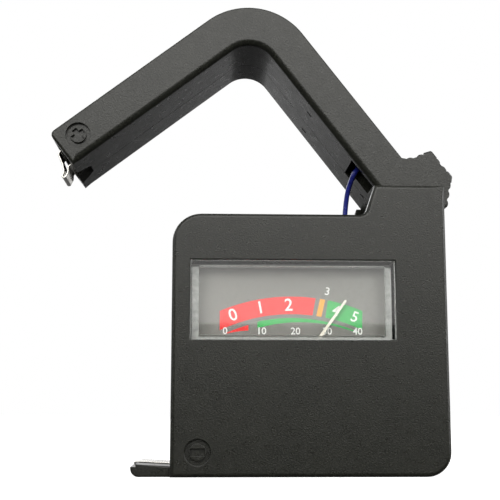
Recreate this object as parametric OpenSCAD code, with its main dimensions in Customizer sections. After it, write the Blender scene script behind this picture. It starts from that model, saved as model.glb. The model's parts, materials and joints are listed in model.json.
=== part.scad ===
// Battery tester: a two-shell case with a moving-coil meter behind a clear window,
// a foot with a leaf contact, and a hinged arm that presses a second contact on the
// far end of a cell. X runs to the right, Y runs from front to back, Z is up.
// The origin is the middle of the case's base face. Millimetres throughout.

/* [Case] */
// Width of the case
body_w = 47.7; // [47.4:0.1:56]
// Height of the case, without the hinge tower
body_h = 45; // [45:0.5:50]
// Depth of the case, front face to back face
body_d = 24; // [24:0.5:28]
// Wall thickness of the case and of the arm
wall = 1.6; // [1.4:0.1:1.6]
// Where the front shell meets the back shell, from the middle of the depth
split_y = 1.2; // [1:0.1:2]
// Radius of the upper left corner, which the arm's bend follows
corner_tl = 5; // [4:0.5:6]
// Radius of the lower right corner
corner_br = 4.2; // [3:0.2:5]
// Height of the hinge tower's top
tower_z = 50.3; // [50:0.1:51]

/* [Foot] */
// How far the foot stands out to the left of the case
foot_len = 6.7; // [6:0.05:8]
// Height of the foot at the case and at its tip
foot_heights = [1.8, 2.12];

/* [Arm] */
// Width of the arm, seen from the front
arm_w = 7.05; // [6.5:0.05:7.5]
// Depth of the arm
arm_d = 20.4; // [20:0.1:20.4]
// Gap between the closed arm and the case
arm_gap = 0.15; // [0.15:0.05:0.4]
// Height of the arm's open end when the arm is shut
arm_end_z = 4.75; // [4.5:0.05:6]
// How far the arm is swung open, in degrees
arm_open = 52.5; // [20:0.5:60]

/* [Hinge] */
// Hinge axis, left to right
pivot_x = 17.02; // [16.9:0.02:17.5]
// Hinge axis, up
pivot_z = 47.2; // [46.9:0.05:47.4]
// Radius of the hinge pin
pin_r = 1.5; // [1.2:0.1:1.5]
// Running clearance between the pin and the arm's bores
pin_fit = 0.05; // [0.02:0.01:0.1]

/* [Meter] */
// Left and right edges of the window
window_x = [-20.7, 14.85];
// Bottom and top edges of the window
window_z = [23, 36.9];
// Axis of the pointer, left to right and up
meter_axis = [-3.4, 16.25];
// Length of the pointer from its axis
pointer_len = 17.3; // [14:0.1:18]
// Angle of the pointer to the right of upright, in degrees
pointer_at = 35.6; // [-45:0.5:45]

/* [Marks] */
// Middle of the minus mark on the case
minus_at = [-19.22, 4.1];
// Middle of the plus mark on the shut arm, from the arm's end
plus_up = 3.9; // [3:0.1:8]
// How far the plus mark stands out of the arm's middle line
plus_off = 0.2; // [0:0.05:0.6]
// Radius of the round recess of a mark
mark_r = 2.2; // [1.8:0.1:2.4]

/* [Hidden] */

e = 0.01;
round_fn = 64;
half_w = body_w / 2;
front_y = -body_d / 2;
back_y = body_d / 2;
cheek_y = back_y - wall;
pivot = [pivot_x, pivot_z];

black = [0.13, 0.13, 0.13];
nickel = [0.78, 0.77, 0.72];
brass = [0.80, 0.66, 0.35];
steel = [0.62, 0.63, 0.65];

// ---------------------------------------------------------------- helpers

function arc(c, r, from, to, n) =
  [for (i = [0:n]) let (a = from + (to - from) * i / n) c + r * [cos(a), sin(a)]];

function unit(v) = v / norm(v);

// A polyline whose inner corners are rounded, starting d away from each corner
function soften(p, d, n) = concat(
  [p[0]],
  [for (i = [1:len(p) - 2])
    let (a = p[i] + unit(p[i - 1] - p[i]) * d, b = p[i] + unit(p[i + 1] - p[i]) * d)
    for (k = [0:n])
      let (t = k / n) (1 - t) * (1 - t) * a + 2 * t * (1 - t) * p[i] + t * t * b],
  [p[len(p) - 1]]
);

function tangents(p) =
  [for (i = [0:len(p) - 1]) unit(p[min(i + 1, len(p) - 1)] - p[max(i - 1, 0)])];

// The outline of a strip of thickness t along a flat path
function ribbon(p, t) =
  let (d = tangents(p), side = [for (v = d) [-v[1], v[0]] * t / 2], last = len(p) - 1)
  concat(
    [for (i = [0:last]) p[i] + side[i]],
    [for (i = [last:-1:0]) p[i] - side[i]]
  );

// Normals carried along a path without twist
function carried(t, found) =
  len(found) == len(t)
    ? found
    : let (v = found[len(found) - 1], d = t[len(found)])
      carried(t, concat(found, [unit(v - (v * d) * d)]));

// A round tube along a path, as one closed solid
module sweep(path, r, sides) {
  t = tangents(path);
  n = carried(t, [unit(cross(t[0], [0.31, 0.52, 0.79]))]);
  last = len(path) - 1;
  points = [for (i = [0:last], k = [0:sides - 1])
    let (a = 360 * k / sides) path[i] + r * (cos(a) * n[i] + sin(a) * cross(t[i], n[i]))];
  skin = [for (i = [0:last - 1], k = [0:sides - 1], half = [0, 1])
    let (a = i * sides + k, b = i * sides + (k + 1) % sides)
    half == 0 ? [a, a + sides, b + sides] : [a, b + sides, b]];
  caps = [
    [for (k = [0:sides - 1]) k],
    [for (k = [sides - 1:-1:0]) last * sides + k]
  ];
  polyhedron(points, concat(skin, caps));
}

// A shape drawn in X and Z, extruded in Y from y0 to y1
module slab(y0, y1) {
  translate([0, y1, 0]) rotate([90, 0, 0]) linear_extrude(y1 - y0) children();
}

// A round bar along Y
module rod(at, r, y0, y1) {
  translate([at[0], y1, at[1]]) rotate([90, 0, 0]) cylinder(h = y1 - y0, r = r, $fn = round_fn);
}

// A box between two corners
module box(low, high) {
  translate(low) cube(high - low);
}

// ---------------------------------------------------------------- case shells

tower_x = 11.5;
tower_edge = 0.5;
tower_fillet = 1.35;
tower_root = [8.75, body_h + tower_fillet];
foot_tip = [-half_w - foot_len, foot_heights[1]];
foot_corner = 1.4;
foot_step = [0.9, 0.42];
well_r = 5.4;
well_wall = 1.2;
well_side_z = 43.5;
boss_r = 2.5;
screw_r = 1;
screw_head_r = 1.8;
screw_head_y = [back_y - 1.35, back_y - 0.3];
screw_tip_y = -6;
screw_at = [[-19, 4.9], [19, 4.9], [19.3, 34], [-18.75, 40.6]];
contact_w = 7;
slot_play = 0.25;
pad_z = [13, 25.7];
pad_half = [2.4, 2.4];
pad_play = 0.1;
pin_seat = 0.85;
mark_depth = 0.65;
wire_r = 0.47;
lead_r = 0.42;
wire_hole = [7.6, -1];
wire_hole_r = 0.75;
spring_wire_r = 0.4;
spring_r = 2.5;
spring_end_y = -2.7;

module case_outline() {
  polygon(concat(
    [[-half_w, 0]],
    arc([half_w - corner_br, corner_br], corner_br, -90, 0, 12),
    arc([half_w - tower_edge, tower_z - tower_edge], tower_edge, 0, 90, 4),
    [[tower_x, tower_z]],
    arc(tower_root, tower_fillet, -15, -90, 6),
    arc([-half_w + corner_tl, body_h - corner_tl], corner_tl, 90, 180, 14)
  ));
}

module foot_outline() {
  polygon(concat(
    [[-half_w + 1, 0], [-half_w + 1, foot_heights[0]], [-half_w, foot_heights[0]]],
    [foot_tip + [foot_step[0], 0], foot_tip + [foot_step[0], -foot_step[1]]],
    [foot_tip + [0, -foot_step[1]]],
    arc([foot_tip[0] + foot_corner, foot_corner], foot_corner, 180, 270, 6)
  ));
}

// The room for the arm's hub between the two cheeks of the hinge tower
module well_outline() {
  translate(pivot) circle(r = well_r, $fn = round_fn);
  translate([pivot_x, well_side_z]) square([half_w, 20]);
  translate([tower_root[0] - 1, body_h]) square([body_w, 20]);
}

module cavity_outline() {
  difference() {
    polygon(concat(
      [[-half_w + wall, wall]],
      arc([half_w - corner_br, corner_br], corner_br - wall, -90, 0, 8),
      [[half_w - wall, body_h - wall]],
      arc([-half_w + corner_tl, body_h - corner_tl], corner_tl - wall, 90, 180, 10)
    ));
    translate(pivot) circle(r = well_r + well_wall, $fn = round_fn);
    translate([pivot_x + 3.5, well_side_z - well_wall]) square([half_w, 20]);
  }
}

// What both shells lose: the hub's room, the slots for contacts and the pin's seats
module case_cuts() {
  slab(-cheek_y, cheek_y) well_outline();
  strip = contact_w / 2 + slot_play;
  box([-half_w - 1, -strip, foot_heights[0]], [-half_w + wall + 1, strip, foot_heights[0] + 0.5]);
  for (z = pad_z) {
    pad_y = split_y + pad_half[0] + pad_play;
    box(
      [half_w - wall - 1, 2 * split_y - pad_y, z - pad_half[1] - pad_play],
      [half_w + 1, pad_y, z + pad_half[1] + pad_play]
    );
  }
  rod(pivot, pin_r, -cheek_y - pin_seat, cheek_y + pin_seat);
}

// A round recess with a raised disc that carries a sunk bar, or two for a plus
module polarity_mark(at, face_y, bar, turns) {
  difference() {
    rod(at, mark_r, face_y - 1, face_y + mark_depth);
    rod(at, mark_r * 0.64, face_y - 0.05, face_y + 1);
  }
  for (turn = turns) {
    translate([at[0], face_y, at[1]])
      rotate([0, turn, 0])
        cube([bar[0], 2 * mark_depth, bar[1]], center = true);
  }
  rod(at, mark_r * 0.64, face_y - 1, face_y + 0.08);
}

module front_shell() {
  color(black)
  difference() {
    union() {
      difference() {
        union() {
          slab(front_y, split_y) case_outline();
          slab(-arm_d / 2, split_y) foot_outline();
        }
        slab(front_y + wall, split_y + e) cavity_outline();
      }
      for (at = screw_at) rod(at, boss_r, front_y + wall - e, split_y);
    }
    case_cuts();
    slab(front_y - e, front_y + wall + e)
      translate([window_x[0], window_z[0]])
        square([window_x[1] - window_x[0], window_z[1] - window_z[0]]);
    for (at = screw_at) rod(at, screw_r, screw_tip_y - 0.2, split_y + e);
    polarity_mark(minus_at, front_y, [2.5, 1.3], [0]);
    translate([wire_hole[0], wire_hole[1], body_h - 3]) cylinder(h = 5, r = wire_hole_r, $fn = 32);
    translate([pivot_x + spring_r, spring_end_y, pivot_z - 8]) cylinder(h = 6, r = 0.5, $fn = 32);
  }
}

module back_shell() {
  color(black)
  difference() {
    union() {
      difference() {
        union() {
          slab(split_y, back_y) case_outline();
          slab(split_y, arm_d / 2) foot_outline();
        }
        slab(split_y - e, back_y - wall) cavity_outline();
      }
      for (at = screw_at) rod(at, boss_r, split_y, back_y - wall + e);
    }
    case_cuts();
    for (at = screw_at) {
      rod(at, screw_r + 0.15, split_y - e, back_y);
      rod(at, screw_head_r + 0.15, screw_head_y[0], back_y + e);
    }
  }
}

// Four pan-head screws with cross recesses, driven from the back
module case_screws() {
  color(steel)
  for (at = screw_at) {
    difference() {
      union() {
        rod(at, screw_r, screw_tip_y, screw_head_y[0] + e);
        rod(at, screw_head_r, screw_head_y[0], screw_head_y[1]);
      }
      for (turn = [45, 135]) {
        translate([at[0], screw_head_y[1], at[1]])
          rotate([0, turn, 0])
            cube([2.2, 1.3, 0.5], center = true);
      }
    }
  }
}

// ---------------------------------------------------------------- meter

meter_wall = 1.2;
meter_x = [window_x[0] - 1, window_x[1] + 0.95];
meter_z = [8, window_z[1] + 1];
lens_play = 0.05;
lens_y = front_y + 0.15;
meter_join_y = -7.1;
meter_back_y = 3.2;
view_x = [window_x[0] + 1.5, window_x[1] - 1.55];
view_z = [window_z[0] + 0.85, window_z[1] - 0.9];
plate_y = [-7, -6.6];
plate_edge = 0.5;
plate_foot_z = 17.5;
post_r = 1.2;
post_at = [[-17.5, 33.4], [11.8, 33.4], [-17.5, 19.6], [11.8, 19.6]];
core_r = 4.2;
core_y = [-5.2, -0.2];
coil_in = [4.6, 0.4];
coil_t = 0.5;
coil_half_h = 1.2;
yoke_r = [5.6, 6.8];
bridge_y = [-9, -8.5];
pillar_x = 6.6;
pillar_r = 0.8;
jewel_r = 0.8;
jewel_hole_r = 0.26;
staff_r = 0.35;
staff_tip_r = 0.2;
pointer_y = [-8.2, -8];
terminal_at = [[-12, 29], [7, 29]];
terminal_r = 0.6;

// Clear front of the meter: a window block and a shallow tray behind the case wall
module meter_cover() {
  color([0.85, 0.9, 0.92, 0.35])
  difference() {
    union() {
      box(
        [window_x[0] + lens_play, lens_y, window_z[0] + lens_play],
        [window_x[1] - lens_play, meter_join_y, window_z[1] - lens_play]
      );
      box([meter_x[0], front_y + wall + 0.1, meter_z[0]], [meter_x[1], meter_join_y, meter_z[1]]);
    }
    box(
      [view_x[0], lens_y + meter_wall, view_z[0]],
      [view_x[1], meter_join_y + e, view_z[1]]
    );
    box(
      [meter_x[0] + meter_wall, front_y + wall + 0.1 + meter_wall, meter_z[0] + meter_wall],
      [meter_x[1] - meter_wall, meter_join_y + e, view_z[1]]
    );
  }
}

// Tray that closes the meter from behind and carries the movement
module meter_base() {
  color([0.2, 0.2, 0.21])
  difference() {
    union() {
      difference() {
        box([meter_x[0], meter_join_y, meter_z[0]], [meter_x[1], meter_back_y, meter_z[1]]);
        box(
          [meter_x[0] + meter_wall, meter_join_y - e, meter_z[0] + meter_wall],
          [meter_x[1] - meter_wall, meter_back_y - meter_wall, meter_z[1] - meter_wall]
        );
      }
      for (at = post_at) rod(at, post_r, plate_y[1], meter_back_y - meter_wall + e);
      for (side = [-1, 1]) {
        rod(meter_axis + [side * pillar_x, 0], pillar_r, core_y[1], meter_back_y - meter_wall + e);
      }
    }
    rod(meter_axis, jewel_r, 1, 2.8);
    for (at = terminal_at) rod(at, terminal_r, 1, meter_back_y + e);
  }
}

module scale_plate() {
  color([0.42, 0.42, 0.41])
  slab(plate_y[0], plate_y[1])
    difference() {
      translate([view_x[0] - plate_edge, plate_foot_z])
        square([view_x[1] - view_x[0] + 2 * plate_edge, view_z[1] + plate_edge - plate_foot_z]);
      translate(meter_axis) circle(r = 6.9, $fn = round_fn);
    }
}

// Soft-iron ring that returns the core magnet's field
module yoke() {
  color(steel)
  difference() {
    rod(meter_axis, yoke_r[1], core_y[0], core_y[1]);
    rod(meter_axis, yoke_r[0], core_y[0] - e, core_y[1] + e);
  }
}

module core_magnet() {
  color([0.35, 0.35, 0.37]) rod(meter_axis, core_r, core_y[0], core_y[1]);
}

// Two spacers that hold the core in the ring, above and below the coil's sweep
module core_spacers() {
  color(brass)
  for (side = [0, 180]) {
    difference() {
      intersection() {
        rod(meter_axis, yoke_r[0], core_y[0] + 0.5, core_y[1] - 0.5);
        translate([meter_axis[0], 0, meter_axis[1]])
          rotate([0, side, 0])
            box([-1.3, core_y[0], 3], [1.3, core_y[1], 7]);
      }
      rod(meter_axis, core_r, core_y[0], core_y[1]);
    }
  }
}

// Strip across the front of the movement that holds the front jewel
module movement_bridge() {
  color(brass)
  difference() {
    union() {
      box(
        [meter_axis[0] - pillar_x - 1, bridge_y[0], meter_axis[1] - 1],
        [meter_axis[0] + pillar_x + 1, bridge_y[1], meter_axis[1] + 1]
      );
      for (side = [-1, 1]) {
        rod(meter_axis + [side * pillar_x, 0], pillar_r, bridge_y[1] - e, core_y[0]);
      }
    }
    rod(meter_axis, jewel_r, bridge_y[0] - 1, bridge_y[1] + 1);
  }
}

module jewel_bearings() {
  color([0.7, 0.15, 0.25]) {
    difference() {
      rod(meter_axis, jewel_r, bridge_y[0], bridge_y[1] + 0.15);
      rod(meter_axis, jewel_hole_r, bridge_y[0] + 0.15, 0);
    }
    difference() {
      rod(meter_axis, jewel_r, 1.5, 2.8);
      rod(meter_axis, jewel_hole_r, 1, 2.3);
    }
  }
}

// Two pins that carry the meter's current to the circuit board
module meter_terminals() {
  color(brass)
  for (at = terminal_at) rod(at, terminal_r, 1.6, 8);
}

// Everything in this module is drawn with the pointer upright, and turned to its angle
module on_staff() {
  translate([meter_axis[0], 0, meter_axis[1]]) rotate([0, pointer_at, 0]) children();
}

module pointer() {
  color([0.97, 0.95, 0.88])
  on_staff()
  difference() {
    union() {
      slab(pointer_y[0], pointer_y[1])
        polygon([
          [-0.45, -3.4], [0.45, -3.4], [0.32, 0], [0.2, pointer_len - 0.2], [0.08, pointer_len],
          [-0.08, pointer_len], [-0.2, pointer_len - 0.2], [-0.32, 0]
        ]);
      rod([0, 0], 0.9, pointer_y[0] - 0.05, pointer_y[1] + 0.1);
      rod([0, -3.4], 0.75, pointer_y[0] - 0.05, pointer_y[1] + 0.35);
    }
    rod([0, 0], staff_r, pointer_y[0] - 1, pointer_y[1] + 1);
  }
}

// A flat rectangular winding that encloses the core
module moving_coil() {
  color([0.72, 0.4, 0.2])
  on_staff()
  difference() {
    box(
      [-coil_in[0] - coil_t, core_y[0] - coil_in[1] - coil_t, -coil_half_h],
      [coil_in[0] + coil_t, core_y[1] + coil_in[1] + coil_t, coil_half_h]
    );
    box(
      [-coil_in[0], core_y[0] - coil_in[1], -coil_half_h - 1],
      [coil_in[0], core_y[1] + coil_in[1], coil_half_h + 1]
    );
  }
}

// Front and rear half-staffs with fine tips that run in the jewels
module coil_staff() {
  color(steel)
  on_staff() {
    rod([0, 0], staff_r, -8.3, core_y[0] - coil_in[1] - coil_t);
    rod([0, 0], staff_tip_r, -8.8, -8.29);
    rod([0, 0], staff_r, core_y[1] + coil_in[1] + coil_t, 1.4);
    rod([0, 0], staff_tip_r, 1.39, 2.2);
  }
}

// Two spiral springs that carry the coil's current and pull the pointer to zero
module hairsprings() {
  turns = 4;
  steps = 24;
  from_r = staff_r + 0.03;
  pitch = 0.55;
  line = [for (i = [0:turns * steps])
    let (a = 360 * i / steps) (from_r + pitch * i / steps) * [cos(a), sin(a)]];
  color(brass)
  for (y = [-6.9, 0.9]) {
    slab(y, y + 0.3) translate(meter_axis) polygon(ribbon(line, 0.1));
  }
}

// ---------------------------------------------------------------- circuit and leads

board_y = [5.6, 6.8];
board_x = [-16, 11];
board_z = [15, 33];
leg_r = 0.3;
leg_bore = 0.32;
load_at = [-3.5, 18.2];
range_at = [-3.5, 22.4];
nine_at = [-3.5, 26];
load_size = [9, 1.45];
small_size = [6.3, 1.1];

// A resistor with its leads bent down through the board
module resistor(at, size, body_color, bands) {
  reach = size[0] / 2 + 1.6;
  y = board_y[1] + 0.15 + size[1];
  color(body_color) {
    translate([at[0], y, at[1]])
      rotate([0, 90, 0])
        cylinder(h = size[0], r = size[1] * 0.88, center = true, $fn = 32);
    for (side = [-1, 1]) {
      translate([at[0] + side * (size[0] / 2 - 0.9), y, at[1]])
        rotate([0, 90, 0])
          cylinder(h = 1.8, r = size[1], center = true, $fn = 32);
    }
    for (side = [-1, 1]) rod([at[0] + side * reach, at[1]], leg_r, board_y[0] - 0.6, y);
    translate([at[0], y, at[1]])
      rotate([0, 90, 0])
        cylinder(h = 2 * reach + 2 * leg_r, r = leg_r, center = true, $fn = 32);
    for (i = bands) {
      translate([at[0] - size[0] * 0.26 + i * size[0] * 0.15, y, at[1]])
        rotate([0, 90, 0])
          cylinder(h = 0.6, r = size[1] * 0.9, center = true, $fn = 32);
    }
  }
}

module circuit_board() {
  color([0.55, 0.4, 0.22])
  difference() {
    box([board_x[0], board_y[0], board_z[0]], [board_x[1], board_y[1], board_z[1]]);
    for (at = terminal_at) rod(at, terminal_r, board_y[0] - 1, board_y[1] + 1);
    for (side = [-1, 1]) {
      for (place = [[load_at, load_size], [range_at, small_size], [nine_at, small_size]]) {
        reach = side * (place[1][0] / 2 + 1.6);
        rod(place[0] + [reach, 0], leg_bore, board_y[0] - 1, board_y[1] + 1);
      }
    }
  }
}

module load_resistor() {
  resistor(load_at, load_size, [0.75, 0.62, 0.42], [0, 1, 2, 3]);
}

module range_resistor() {
  resistor(range_at, small_size, [0.3, 0.5, 0.7], [0, 1, 2, 3]);
}

module nine_volt_resistor() {
  resistor(nine_at, small_size, [0.3, 0.5, 0.7], [0, 1, 2, 3]);
}

// Leaf on top of the foot that takes the cell's negative end
module foot_contact() {
  t = 0.2;
  rise = 0.16;
  path = soften([
    [-11.5, 7],
    [-11.5, foot_heights[0] + rise],
    [-half_w, foot_heights[0] + rise],
    foot_tip + [1.3, rise],
    foot_tip + [0.3, rise - 0.04],
    foot_tip + [0.25, -0.28]
  ], 0.28, 4);
  color(nickel) slab(-contact_w / 2, contact_w / 2) polygon(ribbon(path, t));
}

// Two pads in the right wall for the terminals of a block battery
module nine_volt_contacts() {
  color(nickel)
  for (z = pad_z) {
    box(
      [half_w - wall, split_y - pad_half[0], z - pad_half[1]],
      [half_w + 0.35, split_y + pad_half[0], z + pad_half[1]]
    );
    box(
      [half_w - wall - 0.5, split_y - pad_half[0] - 1, z - pad_half[1] - 0.9],
      [half_w - wall, split_y + pad_half[0] + 1, z + pad_half[1] + 0.9]
    );
    box(
      [half_w - wall - 4, split_y - 0.25, z - 1],
      [half_w - wall - 0.5 + e, split_y + 0.25, z + 1]
    );
  }
}

module foot_lead() {
  route = [
    [-10.9, 2.6, 6.4], [-11, 5, 7.5], [-13, 8.4, 10], [-14, 8.8, 16], [-14, 8.6, 28],
    [-14, 8, 30.6], [-14, 6.85, 30.6]
  ];
  color([0.1, 0.1, 0.1]) sweep(soften(route, 0.5, 4), lead_r, 8);
}

module nine_volt_leads() {
  color([0.7, 0.1, 0.1]) {
    sweep(soften([
      [18.3, 1.95, 13], [17.5, 4.5, 13.2], [15, 8, 14.5], [10.5, 9, 17.2], [9, 8.6, 17.2],
      [9, 6.85, 17.2]
    ], 0.6, 4), lead_r, 8);
    sweep(soften([
      [18.3, 1.95, 25.7], [17.5, 4.5, 26], [15, 8, 27.5], [10.5, 9, 30.8], [9, 8.6, 30.8],
      [9, 6.85, 30.8]
    ], 0.6, 4), lead_r, 8);
  }
}

// ---------------------------------------------------------------- hinge

module hinge_pin() {
  color(steel) rod(pivot, pin_r, 0.05 - cheek_y - pin_seat, cheek_y + pin_seat - 0.05);
}

// Torsion spring round the pin: one leg in the case, the other in the arm
module return_spring() {
  turns = 4;
  steps = 20;
  sweep_deg = 90 - arm_open + 360 * turns;
  rise = 2 * abs(spring_end_y) / sweep_deg;
  count = round(steps * sweep_deg / 360);
  coil = [for (i = [0:count])
    let (a = sweep_deg * i / count)
    [pivot_x + spring_r * cos(a), spring_end_y + rise * a, pivot_z + spring_r * sin(a)]];
  leg = 6 * [-sin(sweep_deg), 0, cos(sweep_deg)];
  color(steel)
  sweep(concat(
    [[pivot_x + spring_r, spring_end_y, pivot_z - 5.9]],
    coil,
    [coil[count] + leg]
  ), spring_wire_r, 8);
}

// ---------------------------------------------------------------- arm, drawn shut

bend = [-half_w + corner_tl, body_h - corner_tl];
bend_in = corner_tl + arm_gap;
bend_out = bend_in + arm_w;
arm_in_x = -half_w - arm_gap;
arm_out_x = arm_in_x - arm_w;
arm_in_z = body_h + arm_gap;
arm_out_z = arm_in_z + arm_w;
arm_y = arm_d / 2;
hub_r = 4.6;
hub_room_r = 3.6;
hub_room_y = 3.9;
tab = [[-6.8, arm_out_z - pivot_z], [-5.85, 5.85], [-4.4, 9.7], [1.1, 9.75], [4.5, 6.05]];
bump_r = 0.9;
bump_pitch = 1.55;
arm_room_x = pivot_x - 5.6;
arm_corner = 1;
post_x = [-28.3, -26.5];
post_z = [8.5, 12.5];
slot_x = [pivot_x - 12.1, pivot_x - 6];
slot_y = [-8.5, -2.4];
notch_len = 2.95;

// Moves what is drawn with the arm shut to where the arm stands
module swung() {
  translate([pivot_x, 0, pivot_z])
    rotate([0, arm_open, 0])
      translate([-pivot_x, 0, -pivot_z])
        children();
}

// The same for one point
function swung_point(p) =
  let (d = [p[0] - pivot_x, p[2] - pivot_z], c = cos(arm_open), s = sin(arm_open))
  [pivot_x + d[0] * c + d[1] * s, p[1], pivot_z - d[0] * s + d[1] * c];

// Round ridges along a line, for the thumb
module ridges(from, to) {
  count = floor(norm(to - from) / bump_pitch);
  inward = unit([to[1] - from[1], from[0] - to[0]]);
  for (i = [0:count]) {
    translate(from + (to - from) * i / count + inward * (bump_r - 0.3)) circle(r = bump_r, $fn = 24);
  }
}

module arm_outline() {
  polygon(concat(
    arc([arm_out_x + arm_corner, arm_end_z + arm_corner], arm_corner, 270, 180, 6),
    arc(bend, bend_out, 180, 90, 20),
    [for (p = tab) pivot + p],
    [pivot + [hub_r, 0], pivot, [pivot_x, arm_in_z]],
    arc(bend, bend_in, 90, 180, 14),
    [[arm_in_x, arm_end_z]]
  ));
  translate(pivot) circle(r = hub_r, $fn = round_fn);
  translate(pivot) {
    ridges(tab[1], tab[2]);
    ridges(tab[2], tab[3]);
    ridges(tab[3], tab[4]);
  }
}

module arm_room_outline() {
  polygon(concat(
    [[arm_out_x + wall, arm_end_z - 1]],
    arc(bend, bend_out - wall, 180, 90, 20),
    [[arm_room_x, arm_out_z - wall], [arm_room_x, arm_in_z + wall]],
    arc(bend, bend_in + wall, 90, 180, 14),
    [[arm_in_x - wall, arm_end_z - 1]]
  ));
  translate(pivot)
    polygon([[-3.4, 5.2], [-3.4, 7.9], [0.3, 7.9], [2.4, 5.2]]);
}

// What both halves of the arm lose: the hollow, the pin's bore and the spring's room
module arm_cuts() {
  slab(-arm_y + wall, arm_y - wall) arm_room_outline();
  rod(pivot, pin_r + pin_fit, -arm_y - 1, arm_y + 1);
  rod(pivot, hub_room_r, -hub_room_y, hub_room_y);
  slab(-hub_room_y, spring_end_y + 1.2) {
    translate(pivot + [0.6, -hub_r - 1]) square([hub_r + 3, hub_r + 4.3]);
  }
  box(
    [arm_room_x - 1, 0, pivot_z + spring_r - 0.7],
    [pivot_x, hub_room_y, pivot_z + spring_r + 0.7]
  );
  end_notch();
}

// A tapered notch in the inner wall at the open end
module end_notch() {
  translate([arm_in_x + 1, 0, arm_end_z])
    rotate([0, -90, 0])
      linear_extrude(wall + 1 + e)
        polygon([[-1, -4], [notch_len, -1.8], [notch_len, 2.4], [-1, 6.4]]);
}

// A post that holds the strip's legs apart; each half of the arm carries one half of it
module arm_post(y0, y1) {
  box([post_x[0], y0, post_z[0]], [post_x[1], y1, post_z[1]]);
}

// Small latch windows in the arm's inner wall
module latch_window(x, y) {
  box([x - 0.6, y - 0.35, arm_in_z - 1], [x + 0.6, y + 0.35, arm_in_z + 0.7]);
}

module arm_front_shell() {
  color(black)
  swung()
  difference() {
    union() {
      difference() {
        slab(-arm_y, split_y) arm_outline();
        arm_cuts();
      }
      arm_post(-arm_y + wall - e, split_y);
    }
    polarity_mark(
      [(arm_in_x + arm_out_x) / 2 - plus_off, arm_end_z + plus_up], -arm_y, [2.4, 0.95], [0, 90]
    );
    box([slot_x[0], slot_y[0], arm_in_z - 1], [slot_x[1], slot_y[1], arm_in_z + wall + e]);
    box([slot_x[0], slot_y[0], arm_in_z - 1], [slot_x[0] + 2.5, split_y + 1, arm_in_z + wall + e]);
    latch_window(-7, -5);
  }
}

module arm_back_shell() {
  color(black)
  swung()
  difference() {
    union() {
      difference() {
        slab(split_y, arm_y) arm_outline();
        arm_cuts();
      }
      arm_post(split_y, arm_y - wall + e);
    }
    latch_window(-6.9, 5.8);
    latch_window(10.4, 1.9);
  }
}

// Strip that crosses the arm's end and is bent to a narrow nose on the cell's positive end
module arm_contact() {
  t = 0.3;
  end = [arm_in_x, arm_end_z];
  outer_x = arm_out_x + wall + 0.35 - arm_in_x;
  inner_x = -wall - 0.3;
  nose = arc(end + [-1, -2.2], 0.33, 200, 385, 10);
  path = concat(
    soften([
      end + [outer_x, 10.3], end + [outer_x, -0.6], end + [-2.9, -1.15], end + [-1.75, -1.7], nose[0]
    ], 0.4, 4),
    [for (i = [1:9]) nose[i]],
    soften([nose[10], end + [-1.15, -1], end + [inner_x, -0.15], end + [inner_x, 8.5]], 0.35, 4)
  );
  color(nickel)
  swung()
  slab(-contact_w / 2, contact_w / 2) polygon(ribbon(path, t));
}

// Wire from the arm's contact, through the arm and a free loop, to the circuit board
module arm_lead() {
  in_arm = [
    [-28.3, -2, 15.6], [-27.6, -1.8, 19], [-27.2, -1.4, 38], [-25.6, -1, 44.5],
    [-20.5, -1, 48.3], [-8, -1.2, 48.7], [2, -1.6, 48.5], [5, -2.8, 47.8], [6.4, -3.9, 46.2]
  ];
  loop = [
    [9, -4.1, 54.1], [8.1, -2.3, 51.5], [7.8, -1.3, 49], [7.6, -1, 46.4], [7.55, -0.6, 42.4]
  ];
  in_case = [[6.6, 4.2, 40.4], [4.6, 8.4, 38.6], [4, 8.9, 34.5], [4, 8.5, 31], [4, 6.85, 31]];
  route = concat([for (p = in_arm) swung_point(p)], loop, in_case);
  color([0.1, 0.13, 0.4]) sweep(soften(route, 0.8, 4), wire_r, 8);
}

front_shell();
back_shell();
case_screws();
meter_cover();
meter_base();
scale_plate();
yoke();
core_magnet();
core_spacers();
movement_bridge();
jewel_bearings();
meter_terminals();
pointer();
moving_coil();
coil_staff();
hairsprings();
circuit_board();
load_resistor();
range_resistor();
nine_volt_resistor();
foot_contact();
nine_volt_contacts();
foot_lead();
nine_volt_leads();
hinge_pin();
return_spring();
arm_front_shell();
arm_back_shell();
arm_contact();
arm_lead();
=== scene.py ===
import json
import math

import bmesh
import bpy
from mathutils import Matrix, Vector

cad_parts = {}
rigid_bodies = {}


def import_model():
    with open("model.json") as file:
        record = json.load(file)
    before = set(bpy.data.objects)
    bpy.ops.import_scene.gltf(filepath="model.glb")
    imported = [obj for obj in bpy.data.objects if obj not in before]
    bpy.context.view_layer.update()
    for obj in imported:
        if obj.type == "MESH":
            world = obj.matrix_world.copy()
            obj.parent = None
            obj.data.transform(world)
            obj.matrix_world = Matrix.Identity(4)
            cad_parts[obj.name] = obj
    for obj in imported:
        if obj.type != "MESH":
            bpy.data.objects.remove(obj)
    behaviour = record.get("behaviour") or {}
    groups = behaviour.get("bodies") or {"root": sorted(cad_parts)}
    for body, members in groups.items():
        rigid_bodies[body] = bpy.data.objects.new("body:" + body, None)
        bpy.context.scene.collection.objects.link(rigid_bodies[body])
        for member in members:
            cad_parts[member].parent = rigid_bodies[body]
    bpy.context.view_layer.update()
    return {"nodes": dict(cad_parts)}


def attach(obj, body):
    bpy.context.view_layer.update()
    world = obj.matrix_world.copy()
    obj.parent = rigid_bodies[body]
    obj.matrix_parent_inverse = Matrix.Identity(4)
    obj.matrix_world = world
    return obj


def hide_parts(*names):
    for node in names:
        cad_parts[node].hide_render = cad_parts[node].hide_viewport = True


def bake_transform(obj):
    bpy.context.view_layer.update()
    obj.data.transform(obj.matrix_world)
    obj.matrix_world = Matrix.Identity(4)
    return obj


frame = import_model()
nodes = frame["nodes"]
scene = bpy.context.scene
link = scene.collection.objects.link

# ------------------------------------------------------------------ sizes, in millimetres

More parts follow.
